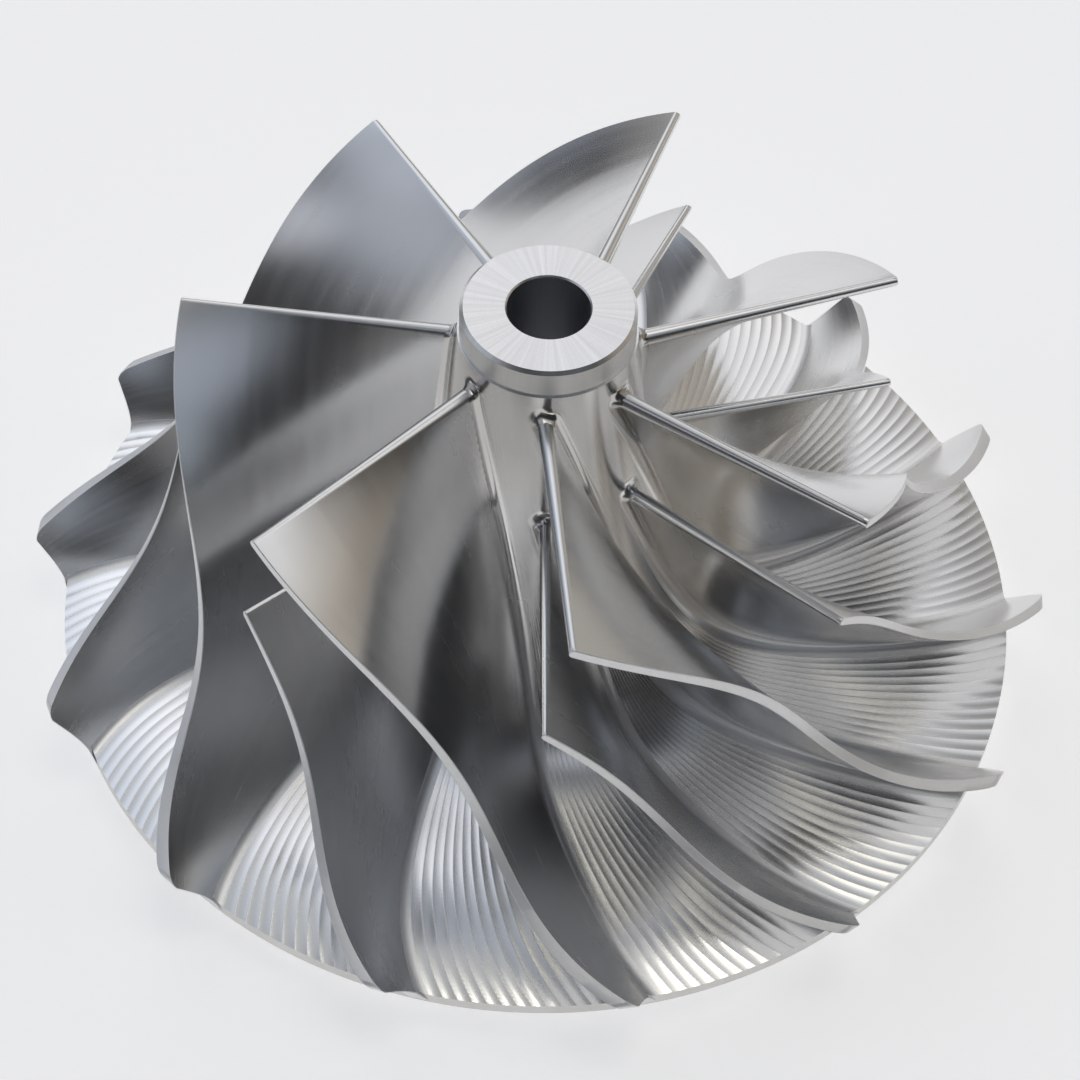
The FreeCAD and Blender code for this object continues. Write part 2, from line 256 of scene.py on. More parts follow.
class Blade:
    """The flanks and the rounded front of one blade, as rulings from the hub to the outer edge."""

    STATIONS = np.linspace(0, 1, 601)

    def __init__(self, kind, roots, outers):
        self.root_half = kind["root_thickness"] / 2
        self.tip_half = kind["tip_thickness"] / 2

        def line_at(line, start, wrap, inlet, outlet, half):
            def at(stations):
                return middle_line(line, start, wrap, inlet, outlet, half, stations)
            points = at(self.STATIONS)
            return points, unit(at(self.STATIONS + 0.003) - at(self.STATIONS - 0.003))

        root, root_way = line_at(
            roots, kind["start"] + kind["root_lead"], kind["root_wrap"],
            kind["root_inlet"], kind["root_exit"], self.root_half)
        tip, tip_way = line_at(
            outers, kind["start"], kind["outer_wrap"],
            kind["outer_inlet"], kind["outer_exit"], self.tip_half)
        across_root = unit(np.cross(tip - root, root_way))
        across_tip = unit(np.cross(tip - root, tip_way))
        self.sides = {
            side: (root + across_root * self.root_half * side, tip + across_tip * self.tip_half * side)
            for side in (1, -1)}
        self.front = (root[0], root_way[0], across_root[0], tip[0], tip_way[0], across_tip[0])
        self.base = {}
        self.floor = {}
        self.top = {}
        for side, (low, high) in self.sides.items():
            self.base[side] = crossing(low, high, above_hub, 0.5, -1.5)
            self.floor[side] = crossing(low, high, above_floor, 0.5, -1.5)
            self.top[side] = crossing(low, high, past_shroud, 0.6, 1.6)

    def ruling(self, side, station):
        low, high = self.sides[side]
        return [np.stack([np.interp(station, self.STATIONS, ends[:, axis]) for axis in range(3)], -1)
                for ends in (low, high)]

    def flank(self, side, station, height, sunk=0.0):
        """Points of a flank; heights count from the hub, 0, to the outer edge, 1."""
        low, high = self.ruling(side, station)
        base = np.interp(station, self.STATIONS, self.base[side])
        top = np.interp(station, self.STATIONS, self.top[side])
        length = np.linalg.norm(high - low, axis=-1)
        share = base + (top - base) * height - sunk / length
        return low + (high - low) * share[:, None]

    def rulings_of_front(self, angles):
        """Ends of the rulings of the rounded leading edge; 90 is one flank and -90 the other."""
        root, root_way, across_root, tip, tip_way, across_tip = self.front
        turn = np.radians(angles)[:, None]
        low = root + self.root_half * (across_root * np.sin(turn) - root_way * np.cos(turn))
        high = tip + self.tip_half * (across_tip * np.sin(turn) - tip_way * np.cos(turn))
        return low, high

    def nose(self, angles, height, sunk=0.0):
        low, high = self.rulings_of_front(angles)
        base = crossing(low, high, above_hub, 0.5, -0.3)
        top = 1.0
        length = np.linalg.norm(high - low, axis=-1)
        share = base + (top - base) * height - sunk / length
        return low + (high - low) * share[:, None]

    def end_station(self, side, height):
        """The station where a flank meets the trimmed trailing edge at a height."""
        late = self.STATIONS[self.STATIONS > 0.7]
        radius, level = rings(self.flank(side, late, height))
        if height >= 1:
            past = CORNER_TOP - level
        else:
            limit = np.interp(level, tip_line[:, 1], tip_line[:, 0])
            past = np.where(level > CORNER_TOP, -1.0, radius - limit)
            past = np.where(level < TIP_FOOT[1] + 0.01, np.maximum(past, 0.001), past)
        first = int(np.argmax(past > 0))
        share = -past[first - 1] / (past[first] - past[first - 1])
        return late[first - 1] + (late[first] - late[first - 1]) * share


full = Blade(FULL, hub_line, shroud_line)
splitter = Blade(SPLITTER, hub_line.below(SPLITTER_TOP), shroud_line.below(SPLITTER_TOP))


class Mesh:
    """Collects points, faces, surface coordinates and finishes of one closed piece."""

    def __init__(self):
        self.points = []
        self.marks = []
        self.faces = []
        self.finishes = []
        self.creases = []
        self.count = 0

    def add(self, points, marks):
        """Adds points with their surface coordinates and returns their numbers in the same grid."""
        points = np.asarray(points, float)
        numbers = np.arange(self.count, self.count + points[..., 0].size).reshape(points.shape[:-1])
        self.points.append(points.reshape(-1, 3))
        self.marks.append(np.broadcast_to(marks, points.shape[:-1] + (2,)).reshape(-1, 2))
        self.count += numbers.size
        return numbers

    def grid(self, numbers, finish):
        """Faces between neighbouring rows and columns of a grid of point numbers."""
        quads = np.stack([numbers[:-1, :-1], numbers[1:, :-1], numbers[1:, 1:], numbers[:-1, 1:]], -1)
        self.face(quads.reshape(-1, 4), finish)

    def face(self, quads, finish):
        self.faces.append(np.asarray(quads).reshape(-1, 4))
        self.finishes.append(np.full(len(self.faces[-1]), finish))

    def stitch(self, first, second, finish):
        """Joins two closed rings of different counts with triangles, in the order of their angles."""
        everything = np.vstack(self.points)

        def angles(ring):
            return np.unwrap(np.arctan2(everything[ring][:, 1], everything[ring][:, 0]))

        a, b = angles(first), angles(second)
        shift = int(np.argmin(np.abs(np.angle(np.exp(1j * (b - a[0]))))))
        second = np.roll(second, -shift)
        b = angles(second)
        b += a[0] - b[0] + float(np.angle(np.exp(1j * (b[0] - a[0]))))
        a = np.append(a, a[0] + 2 * math.pi)
        b = np.append(b, b[0] + 2 * math.pi)
        i = j = 0
        triangles = []
        while i < len(first) or j < len(second):
            here, there = first[i % len(first)], second[j % len(second)]
            if j >= len(second) or (i < len(first) and a[i + 1] <= b[j + 1]):
                i += 1
                ahead = first[i % len(first)]
            else:
                j += 1
                ahead = second[j % len(second)]
            triangles.append((here, ahead, there, there))
        self.face(triangles, finish)

    def build(self, name, finishes, sharp=30):
        points, marks = np.vstack(self.points), np.vstack(self.marks)
        faces, kinds = np.vstack(self.faces), np.concatenate(self.finishes)
        key = np.round(points * 1e4).astype(np.int64)
        _, kept, same = np.unique(key, axis=0, return_index=True, return_inverse=True)
        same = same.reshape(-1)
        polygons, coordinates, numbers = [], [], []
        for corners, kind in zip(faces.tolist(), kinds.tolist()):
            round_trip = []
            origins = []
            for corner in corners:
                number = int(same[corner])
                if number not in round_trip:
                    round_trip.append(number)
                    origins.append(corner)
            if len(round_trip) > 2:
                polygons.append(round_trip)
                coordinates.extend(origins)
                numbers.append(kind)
        mesh = bpy.data.meshes.new(name)
        mesh.from_pydata((points[kept] * 0.001).tolist(), [], polygons)
        layer = mesh.uv_layers.new(name="surface")
        layer.data.foreach_set("uv", marks[coordinates].astype(np.float32).ravel())
        mesh.polygons.foreach_set("material_index", np.array(numbers, np.int32))
        form = bmesh.new()
        form.from_mesh(mesh)
        bmesh.ops.recalc_face_normals(form, faces=form.faces)
        open_edges = sum(not edge.is_manifold for edge in form.edges)
        form.to_mesh(mesh)
        form.free()
        print(name, "faces", len(polygons), "open edges", open_edges)
        for finish in finishes:
            mesh.materials.append(finish)
        mesh.polygons.foreach_set("use_smooth", np.ones(len(mesh.polygons), bool))
        mesh.set_sharp_from_angle(angle=math.radians(sharp))
        if self.creases:
            ends = np.zeros(len(mesh.edges) * 2, np.int32)
            mesh.edges.foreach_get("vertices", ends)
            ends = ends.reshape(-1, 2)
            crease = np.full(len(kept), -1)
            rows = np.full(len(kept), -1)
            for column, numbers_down in enumerate(self.creases):
                crease[same[numbers_down]] = column
                rows[same[numbers_down]] = np.arange(len(numbers_down))
            sharp_edges = np.zeros(len(mesh.edges), bool)
            mesh.edges.foreach_get("use_edge_sharp", sharp_edges)
            a, b = ends.T
            sharp_edges |= (crease[a] >= 0) & (crease[a] == crease[b]) & (np.abs(rows[a] - rows[b]) == 1)
            mesh.edges.foreach_set("use_edge_sharp", sharp_edges)
        mesh.update()
        piece = bpy.data.objects.new(name, mesh)
        bpy.context.scene.collection.objects.link(piece)
        return piece


def turned(points, angle):
    cosine, sine = math.cos(angle), math.sin(angle)
    x, y = points[..., 0], points[..., 1]
    return np.stack([x * cosine - y * sine, x * sine + y * cosine, points[..., 2]], -1)


def blade_mesh(blade, number):
    """A closed blade, sunk a little into the hub, with its edges broken by a tiny bevel."""
    turn = number * SECTOR
    heights = np.concatenate([[0, 0], np.linspace(0, 0.72, 8)[1:], np.linspace(0.72, 1, 13)[1:]])
    sunk = np.zeros(len(heights))
    sunk[0] = SUNK_INTO_HUB
    nose_angles = np.linspace(0, 90, 8)[:-1]
    stations = np.concatenate([np.linspace(0, 0.1, 9)[:-1], np.linspace(0.1, 1, 84)])
    span = blade.tip_middle_run
    grids = {}
    bevel = {}
    ends = {}
    for side in (1, -1):
        columns = []
        for height, deep in zip(heights, sunk):
            level = min(height, 1 - EDGE_BREAK / blade.height_mm)
            low_end = blade.end_station(side, height) - EDGE_BREAK / span
            nose = blade.nose(nose_angles * side, level, deep)
            flank = blade.flank(side, stations * low_end, level, deep)
            columns.append(np.vstack([nose, flank]))
        grids[side] = np.stack(columns, 1)
        top_end = blade.end_station(side, 1.0) - EDGE_BREAK / span
        bevel[side] = np.vstack([blade.nose(nose_angles * side, 1.0),
                                 blade.flank(side, stations * top_end, 1.0)])
        ends[side] = np.stack([
            blade.flank(side, np.array([blade.end_station(side, height)]), min(height, 1.0), deep)[0]
            for height, deep in zip(heights, sunk)])

    def inset(pair):
        """Both edges of a narrow face, drawn in by the bevel."""
        way = pair[-1] - pair[1]
        width = np.linalg.norm(way, axis=-1, keepdims=True)
        share = np.minimum(EDGE_BREAK / np.maximum(width, 1e-9), 0.3)
        return {1: pair[1] + way * share, -1: pair[-1] - way * share}

    bevel, ends = inset(bevel), inset(ends)
    mesh = Mesh()
    rows = {}
    tops = {}
    tails = {}
    along = np.concatenate([-blade.root_half * np.cos(np.radians(nose_angles)), stations * span])
    up = heights * blade.height_mm
    for side in (1, -1):
        marks = np.stack(np.meshgrid(along, up * side, indexing="ij"), -1)
        rows[side] = mesh.add(turned(grids[side], turn), marks)
        tops[side] = mesh.add(turned(bevel[side], turn), np.stack(
            [along, np.full(len(along), side * blade.height_mm)], -1))
        tails[side] = mesh.add(turned(ends[side], turn), np.stack(
            [np.full(len(up), span), up * side], -1))
        mesh.grid(rows[side], 0)
        mesh.grid(np.stack([rows[side][:, -1], tops[side]]), 1)
        mesh.grid(np.stack([rows[side][-1], tails[side]]), 1)
        mesh.face([(rows[side][-1, -1], tails[side][-1], tops[side][-1], tops[side][-1])], 1)
    mesh.grid(np.stack([tops[1], tops[-1]]), 1)
    mesh.grid(np.stack([tails[1], tails[-1]]), 1)
    mesh.face([(tops[1][-1], tails[1][-1], tails[-1][-1], tops[-1][-1])], 1)
    mesh.grid(np.stack([rows[1][:, 0], rows[-1][:, 0]]), 1)
    mesh.face([(rows[1][-1, 0], tails[1][0], tails[-1][0], rows[-1][-1, 0])], 1)
    return mesh


for blade in (full, splitter):
    low, high = blade.sides[1]
    blade.height_mm = float(np.mean(np.linalg.norm(high - low, axis=-1)[:500]))
    blade.tip_middle_run = float(np.sum(np.linalg.norm(np.diff(high, axis=0), axis=-1)))


def on_hub(distance):
    """Radius and height on the hub at a distance down from the top of the full blades."""
    along = np.concatenate([[-NECK_RUN], hub_line.along])
    outline = np.vstack([[(NECK_RADIUS, COLLAR_FOOT)], hub_line.points])
    return np.stack([np.interp(distance, along, outline[:, axis]) for axis in (0, 1)], -1)


HUB_SAMPLES = np.linspace(-NECK_RUN, hub_line.length, 2400)
HUB_RINGS = on_hub(HUB_SAMPLES)


def hub_distance(points):
    """The distance down the hub of the place nearest to each point."""
    radius, height = rings(points)
    flat = np.stack([radius.ravel(), height.ravel()], -1)
    nearest = np.empty(len(flat))
    for first in range(0, len(flat), 2000):
        part = flat[first:first + 2000]
        gap = ((part[:, None] - HUB_RINGS[None]) ** 2).sum(-1)
        index = np.clip(np.argmin(gap, axis=1), 1, len(HUB_RINGS) - 2)
        way = HUB_RINGS[index + 1] - HUB_RINGS[index - 1]
        share = ((part - HUB_RINGS[index - 1]) * way).sum(1) / (way * way).sum(1)
        nearest[first:first + 2000] = (
            HUB_SAMPLES[index - 1] + (HUB_SAMPLES[index + 1] - HUB_SAMPLES[index - 1]) * share)
    return nearest.reshape(radius.shape)


def hub_normal(distance):
    """The outward direction of the hub line, as radius and height."""
    way = on_hub(distance + 0.05) - on_hub(distance - 0.05)
    way = unit(way)
    return np.stack([-way[..., 1], way[..., 0]], -1)


FILLET_SHARES = np.linspace(0, 1, 9)


def fillet_sheet(blade):
    """The rounded root of a blade: for each side, points by station from the front and by share,
    0 at the floor and 1 on the flank."""
    nose_angles = np.linspace(0, 90, 13)
    stations = np.linspace(0, 0.985, 180)[1:]
    corner = {}
    way_up = {}
    for side in (1, -1):
        low, high = blade.rulings_of_front(nose_angles * side)
        base = crossing(low, high, above_floor, 0.5, -0.3)
        foot = low + (high - low) * base[:, None]
        flank_low, flank_high = blade.ruling(side, stations)
        floor = np.interp(stations, blade.STATIONS, blade.floor[side])
        flank_foot = flank_low + (flank_high - flank_low) * floor[:, None]
        corner[side] = np.vstack([foot, flank_foot])
        way_up[side] = unit(np.vstack([high - low, flank_high - flank_low]))
    path = np.vstack([corner[1][::-1], corner[-1][1:]])
    front = len(corner[1]) - 1
    ups = np.vstack([way_up[1][::-1], way_up[-1][1:]])
    along = unit(np.gradient(path, axis=0))
    normal_ring = hub_normal(hub_distance(path))
    around = unit(path[:, :2])
    normal = np.column_stack([around * normal_ring[:, :1], normal_ring[:, 1]])
    away = unit(np.cross(normal, along))
    if ((path[front] - path[front + 40]) * away[front]).sum() < 0:
        away = -away
    opening = np.arccos(np.clip((ups * away).sum(1), -0.95, 0.95))
    reach = (ROOT_FILLET / np.tan(opening / 2))[:, None]
    top = path + ups * reach
    foot = path + away * reach
    spot = on_hub(hub_distance(foot))
    foot = np.column_stack([unit(foot[:, :2]) * spot[:, :1], spot[:, 1]])
    weight = np.sin(opening / 2)[:, None]
    sheet = []
    for share in FILLET_SHARES:
        lean = (1 - share) ** 2 + 2 * weight * share * (1 - share) + share ** 2
        sheet.append(((1 - share) ** 2 * foot + 2 * weight * share * (1 - share) * path
                      + share ** 2 * top) / lean)
    sheet = np.stack(sheet, 1)
    return {1: sheet[front::-1], -1: sheet[front:]}


class Root:
    """Where a blade's rounded root crosses rings of the hub."""

    def __init__(self, blade, upstream_angle):
        self.sheets = fillet_sheet(blade)
        self.distances = {side: hub_distance(sheet) for side, sheet in self.sheets.items()}
        self.front = self.distances[1][0]
        self.front_point = self.sheets[1][0]
        self.upstream_angle = upstream_angle

    def across(self, distance, side):
        """Points from the floor up the flank where the rounded root crosses one ring."""
        sheet, reach = self.sheets[side], self.distances[side]
        points = np.empty((len(FILLET_SHARES), 3))
        for level in range(len(FILLET_SHARES)):
            if distance > self.front[level]:
                steady = np.maximum.accumulate(reach[:, level])
                points[level] = [np.interp(distance, steady, sheet[:, level, axis]) for axis in range(3)]
            elif distance > self.front[0]:
                points[level] = [np.interp(distance, self.front, self.front_point[:, axis])
                                 for axis in range(3)]
            else:
                radius, height = on_hub(distance)
                angle = self.upstream_angle(distance)
                points[level] = (radius * math.cos(angle), radius * math.sin(angle), height)
        return points


def middle_angle(kind, line, distance):
    """The angle round the axis of a blade's middle line on the hub."""
    share = np.clip(distance, 0, None) / line.run
    slope_in = math.degrees(math.tan(math.radians(kind["root_inlet"])) * line.run / line.at(0.0)[0])
    slope_out = math.degrees(math.tan(math.radians(kind["root_exit"])) * line.run / line.at(line.run)[0])
    sweep = (kind["root_wrap"] * (3 - 2 * share) * share ** 2
             + slope_in * share * (1 - share) ** 2 + slope_out * share ** 2 * (share - 1))
    return np.radians(kind["start"] + kind["root_lead"] + sweep)


SPLITTER_FROM = hub_line.run - hub_line.below(SPLITTER_TOP).run


def full_line_angle(distance):
    return middle_angle(FULL, hub_line, distance)


splitter_offset = (math.radians(SPLITTER["start"] + SPLITTER["root_lead"])
                   - float(full_line_angle(SPLITTER_FROM)))
full_root = Root(full, full_line_angle)
splitter_root = Root(splitter, lambda distance: float(full_line_angle(distance)) + splitter_offset)


def lean_of_lines(distance):
    """The cosine of the angle between the blades and the outward line on the hub."""
    step = 0.2
    slope = (full_line_angle(distance + step) - full_line_angle(distance - step)) / (2 * step)
    return 1 / math.sqrt(1 + (slope * on_hub(distance)[0]) ** 2)


def sector_row(distance):
    """One ring of the hub over a seventh of a turn, as points."""
    radius, height = on_hub(distance)
    out, up = hub_normal(np.array(distance))
    next_splitter = SECTOR
    points, marks = [], []

    def climb(root, side, turn, rising):
        steps = root.across(distance, side)
        steps = turned(steps, turn)
        steps = steps if rising else steps[::-1]
        return steps

    def channels(toe_a, toe_b):
        angle_a = math.atan2(toe_a[1], toe_a[0])
        angle_b = angle_a + float(np.angle(np.exp(1j * (math.atan2(toe_b[1], toe_b[0]) - angle_a))))
        width = (angle_b - angle_a) * radius * lean_of_lines(distance)
        pitch = width / CHANNELS
        fade = np.clip((CHANNELS_END - height) / CHANNELS_FADE, 0, 1)
        depth = fade * pitch ** 2 / (8 * CUTTER_RADIUS)
        share = np.arange(1, CHANNELS * CHANNEL_STEPS) / (CHANNELS * CHANNEL_STEPS)
        phase = (share * CHANNELS) % 1
        sink = depth * (1 - (2 * phase - 1) ** 2)
        angles = angle_a + (angle_b - angle_a) * share
        rim = radius - sink * out
        return np.stack([rim * np.cos(angles), rim * np.sin(angles), height - sink * up], -1)

    left = climb(splitter_root, 1, 0, False)
    right = climb(full_root, -1, 0, True)
    points += [left, channels(left[-1], right[0]), right]
    left = climb(full_root, 1, 0, False)
    right = climb(splitter_root, -1, next_splitter, True)
    points += [left, channels(left[-1], right[0]), right]
    return np.vstack(points)


levels = len(FILLET_SHARES)
channel_columns = CHANNELS * CHANNEL_STEPS - 1
half_columns = 2 * levels + channel_columns
channel_share = np.concatenate([
    np.zeros(levels), np.arange(1, CHANNELS * CHANNEL_STEPS) / CHANNEL_STEPS, np.full(levels, CHANNELS)])
column_marks = np.concatenate([channel_share, channel_share + CHANNELS + 2])
crease_columns = [
    first + levels + step * CHANNEL_STEPS - 1
    for first in (0, half_columns) for step in range(1, CHANNELS)]

row_distances = np.concatenate([
    [-NECK_RUN],
    np.arange(-NECK_RUN + 0.25, 2.6, 0.24),
    np.arange(3.2, SPLITTER_FROM - 2.5, 1.0),
    np.arange(SPLITTER_FROM - 2.3, SPLITTER_FROM + 2.7, 0.25),
    np.arange(SPLITTER_FROM + 3.2, hub_line.run - 0.6, 1.1),
    [hub_line.run - 0.45, hub_line.run]])


def ring_of(radius, height, count):
    angles = np.linspace(0, 2 * math.pi, count, endpoint=False)
    return np.stack([radius * np.cos(angles), radius * np.sin(angles), np.full(count, height)], -1)


def hub_mesh():
    """The hub with its milled floor and the rounded blade roots, closed round bore and back."""
    mesh = Mesh()
    sector = np.stack([sector_row(distance) for distance in row_distances])
    radius = np.hypot(sector[-1, :, 0], sector[-1, :, 1])
    sector[-1, :, :2] *= (RIM_RADIUS / radius)[:, None]
    over = np.hypot(sector[..., 0], sector[..., 1])
    sector[..., :2] *= np.minimum(1, RIM_RADIUS / over)[..., None]
    columns = []
    for number in range(BLADE_COUNT):
        across = column_marks + MARKS_PER_SECTOR * number
        marks = np.stack(np.meshgrid(row_distances, across, indexing="ij"), -1)
        columns.append(mesh.add(turned(sector, number * SECTOR), marks))
    floor = np.hstack(columns)
    closed = np.hstack([floor, floor[:, :1]])
    mesh.grid(closed, 0)
    for numbers in columns:
        for column in crease_columns:
            mesh.creases.append(numbers[:, column])

    def wall(ring, radius, height, finish, mark):
        everything = np.vstack(mesh.points)[ring]
        around = unit(everything[:, :2]) * radius
        numbers = mesh.add(np.column_stack([around, np.full(len(ring), height)]),
                           np.stack([np.full(len(ring), mark), np.arange(len(ring))], -1))
        mesh.grid(np.stack([np.append(ring, ring[0]), np.append(numbers, numbers[0])]), finish)
        return numbers

    edge = wall(floor[-1], RIM_RADIUS, BOSS_HEIGHT + RIM_CHAMFER, 2, 1)
    edge = wall(edge, RIM_RADIUS - RIM_CHAMFER, BOSS_HEIGHT, 2, 2)
    boss_root = rounded_corner(
        (RIM_RADIUS, BOSS_HEIGHT), (BOSS_RADIUS, BOSS_HEIGHT), (BOSS_RADIUS, 0), BOSS_FILLET)
    count = 192
    outline = [(RIM_RADIUS - 1.0, BOSS_HEIGHT, 1), *[(*point, 1) for point in boss_root],
               (BOSS_RADIUS, BOSS_CHAMFER, 1), (BOSS_RADIUS - BOSS_CHAMFER, 0, 1),
               (BORE_RADIUS + BORE_LEAD_IN, 0, 1), (BORE_RADIUS, BORE_LEAD_IN, 3),
               *[(BORE_RADIUS, height, 3)
                 for height in np.linspace(BORE_LEAD_IN, NOSE - BORE_MOUTH, 7)[1:]],
               (BORE_RADIUS + BORE_MOUTH, NOSE, 1),
               (COLLAR_RADIUS - COLLAR_CHAMFER, NOSE, 1), (COLLAR_RADIUS, NOSE - COLLAR_CHAMFER, 1),
               # Painted shade: the collar's side takes the darker rim finish, while the nose face keeps
               # the bright one.
               (COLLAR_RADIUS, COLLAR_FOOT, 2)]
    run = 0.0
    before = None
    for here, (radius, height, finish) in enumerate(outline):
        run += 0 if here == 0 else math.hypot(radius - outline[here - 1][0], height - outline[here - 1][1])
        numbers = mesh.add(ring_of(radius, height, count),
                           np.stack([np.full(count, run), np.arange(count)], -1))
        if before is None:
            mesh.stitch(edge, numbers, 1)
        else:
            mesh.grid(np.stack([np.append(before, before[0]), np.append(numbers, numbers[0])]), finish)
        before = numbers
    mesh.stitch(before, floor[0], 1)
    return mesh


# Finishes

def link(tree, value, socket):
    if hasattr(value, "is_output"):
        tree.links.new(value, socket)
    else:
        socket.default_value = value


def calc(tree, operation, *values, clamp=False):
    made = tree.nodes.new("ShaderNodeMath")
    made.operation = operation
    made.use_clamp = clamp
    for value, socket in zip(values, made.inputs):
        link(tree, value, socket)
    return made.outputs[0]


def spread(tree, value, low, high, to_low, to_high):
    """Maps a value from one span onto another and stops at its ends."""
    made = tree.nodes.new("ShaderNodeMapRange")
    for socket, given in zip(made.inputs, (value, low, high, to_low, to_high)):
        link(tree, given, socket)
    return made.outputs[0]


def noise(tree, place, scale, detail=2.0, roughness=0.5):
    made = tree.nodes.new("ShaderNodeTexNoise")
    link(tree, place, made.inputs["Vector"])
    link(tree, scale, made.inputs["Scale"])
    made.inputs["Detail"].default_value = detail
    made.inputs["Roughness"].default_value = roughness
    return made.outputs[0]


def effect(name, inputs, outputs):
    """A shader node group with named inputs and outputs."""
    tree = bpy.data.node_groups.new(name, "ShaderNodeTree")
    for label, kind in inputs:
        tree.interface.new_socket(label, in_out="INPUT", socket_type=kind)
    for label, kind in outputs:
        tree.interface.new_socket(label, in_out="OUTPUT", socket_type=kind)
    return tree, tree.nodes.new("NodeGroupInput").outputs, tree.nodes.new("NodeGroupOutput").inputs


def cutter_streaks():
    """Fine streaks that a cutter leaves along its path: a height and a soft shade."""
    tree, given, result = effect(
        "cutter_streaks",
        [("Along", "NodeSocketFloat"), ("Across", "NodeSocketFloat"),
         ("Length", "NodeSocketFloat"), ("Width", "NodeSocketFloat")],
        [("Height", "NodeSocketFloat"), ("Shade", "NodeSocketFloat")])
    place = tree.nodes.new("ShaderNodeCombineXYZ")
    link(tree, calc(tree, "DIVIDE", given["Along"], given["Length"]), place.inputs[0])
    link(tree, calc(tree, "DIVIDE", given["Across"], given["Width"]), place.inputs[1])
    link(tree, noise(tree, place.outputs[0], 1.0, 3.0, 0.6), result["Height"])
    link(tree, noise(tree, place.outputs[0], 0.21, 2.0, 0.5), result["Shade"])
    return tree


def metal_grain():
    """The fine grain and the slow clouding of bare aluminium, with a few small nicks."""
    tree, given, result = effect(
        "metal_grain", [("Size", "NodeSocketFloat"), ("Seed", "NodeSocketFloat")],
        [("Grain", "NodeSocketFloat"), ("Cloud", "NodeSocketFloat"), ("Nicks", "NodeSocketFloat")])
    place = tree.nodes.new("ShaderNodeTexCoord")
    moved = tree.nodes.new("ShaderNodeVectorMath")
    moved.operation = "ADD"
    link(tree, place.outputs["Object"], moved.inputs[0])
    link(tree, given["Seed"], moved.inputs[1])
    fineness = calc(tree, "DIVIDE", 1.0, given["Size"])
    link(tree, noise(tree, moved.outputs[0], fineness, 2.0), result["Grain"])
    link(tree, noise(tree, moved.outputs[0], 90.0, 3.0), result["Cloud"])
    cells = tree.nodes.new("ShaderNodeTexVoronoi")
    link(tree, moved.outputs[0], cells.inputs["Vector"])
    cells.inputs["Scale"].default_value = 160.0
    near = spread(tree, cells.outputs["Distance"], 0.0, 0.035, 1.0, 0.0)
    kept = tree.nodes.new("ShaderNodeSeparateColor")
    link(tree, cells.outputs["Color"], kept.inputs[0])
    chosen = calc(tree, "GREATER_THAN", kept.outputs[0], 0.84)
    link(tree, calc(tree, "MULTIPLY", near, chosen), result["Nicks"])
    return tree


STREAKS = cutter_streaks()
GRAIN = metal_grain()


def use_effect(tree, group, **values):
    made = tree.nodes.new("ShaderNodeGroup")
    made.node_tree = group
    for label, value in values.items():
        link(tree, value, made.inputs[label])
    return made.outputs


class Metal:
    """A bare aluminium finish: colour, roughness and bump are mixed from the shared effects."""

    def __init__(self, name, anisotropy=0.0):
        self.material = bpy.data.materials.new(name)
        self.material.use_nodes = True
        self.tree = self.material.node_tree
        self.shader = self.tree.nodes["Principled BSDF"]
        self.shader.inputs["Metallic"].default_value = 1.0
        self.shader.inputs["Anisotropic"].default_value = anisotropy
        surface = self.tree.nodes.new("ShaderNodeUVMap")
        surface.uv_map = "surface"
        parts = self.tree.nodes.new("ShaderNodeSeparateXYZ")
        link(self.tree, surface.outputs[0], parts.inputs[0])
        self.along, self.across = parts.outputs[0], parts.outputs[1]

    def colour(self, shade, dark, light):
        made = self.tree.nodes.new("ShaderNodeMix")
        made.data_type = "RGBA"
        colours = [socket for socket in made.inputs if socket.type == "RGBA"]
        link(self.tree, shade, made.inputs[0])
        colours[0].default_value = (*dark, 1)
        colours[1].default_value = (*light, 1)
        result = [socket for socket in made.outputs if socket.type == "RGBA"][0]
        link(self.tree, result, self.shader.inputs["Base Color"])

    def roughness(self, shade, smooth, rough):
        link(self.tree, spread(self.tree, shade, 0.3, 0.7, smooth, rough), self.shader.inputs["Roughness"])

    def bump(self, height, depth, normal=None):
        """Adds a relief whose height runs from 0 to 1 and whose depth is in millimetres."""
        made = self.tree.nodes.new("ShaderNodeBump")
        made.inputs["Distance"].default_value = depth * 0.001
        link(self.tree, height, made.inputs["Height"])
        if normal is not None:
            link(self.tree, normal, made.inputs["Normal"])
        link(self.tree, made.outputs[0], self.shader.inputs["Normal"])
        return made.outputs[0]


def milled_flank():
    """Blade flanks, milled along the blade with the side of the cutter."""
    metal = Metal("milled_flank")
    tree = metal.tree
    streaks = use_effect(tree, STREAKS, Along=metal.along, Across=metal.across, Length=16.0, Width=0.3)
    grain = use_effect(tree, GRAIN, Size=0.00035, Seed=1.0)
    shade = calc(tree, "ADD", calc(tree, "MULTIPLY", streaks["Shade"], 0.5),
                 calc(tree, "MULTIPLY", grain["Cloud"], 0.5))
    metal.colour(shade, (0.73, 0.73, 0.73), (0.83, 0.83, 0.83))
    metal.roughness(shade, 0.20, 0.30)
    normal = metal.bump(streaks["Height"], 0.00006)
    metal.bump(calc(tree, "SUBTRACT", grain["Grain"], grain["Nicks"]), 0.0003, normal)
    return metal.material


def turned_edge():
    """The narrow outer edges of the blades, left dull and grainy by the lathe."""
    metal = Metal("turned_edge")
    tree = metal.tree
    grain = use_effect(tree, GRAIN, Size=0.00016, Seed=2.0)
    streaks = use_effect(tree, STREAKS, Along=metal.across, Across=metal.along, Length=2.0, Width=0.12)
    metal.colour(grain["Cloud"], (0.88, 0.88, 0.88), (0.96, 0.96, 0.96))
    metal.roughness(grain["Grain"], 0.50, 0.75)
    normal = metal.bump(streaks["Height"], 0.002)
    metal.bump(grain["Grain"], 0.007, normal)
    return metal.material


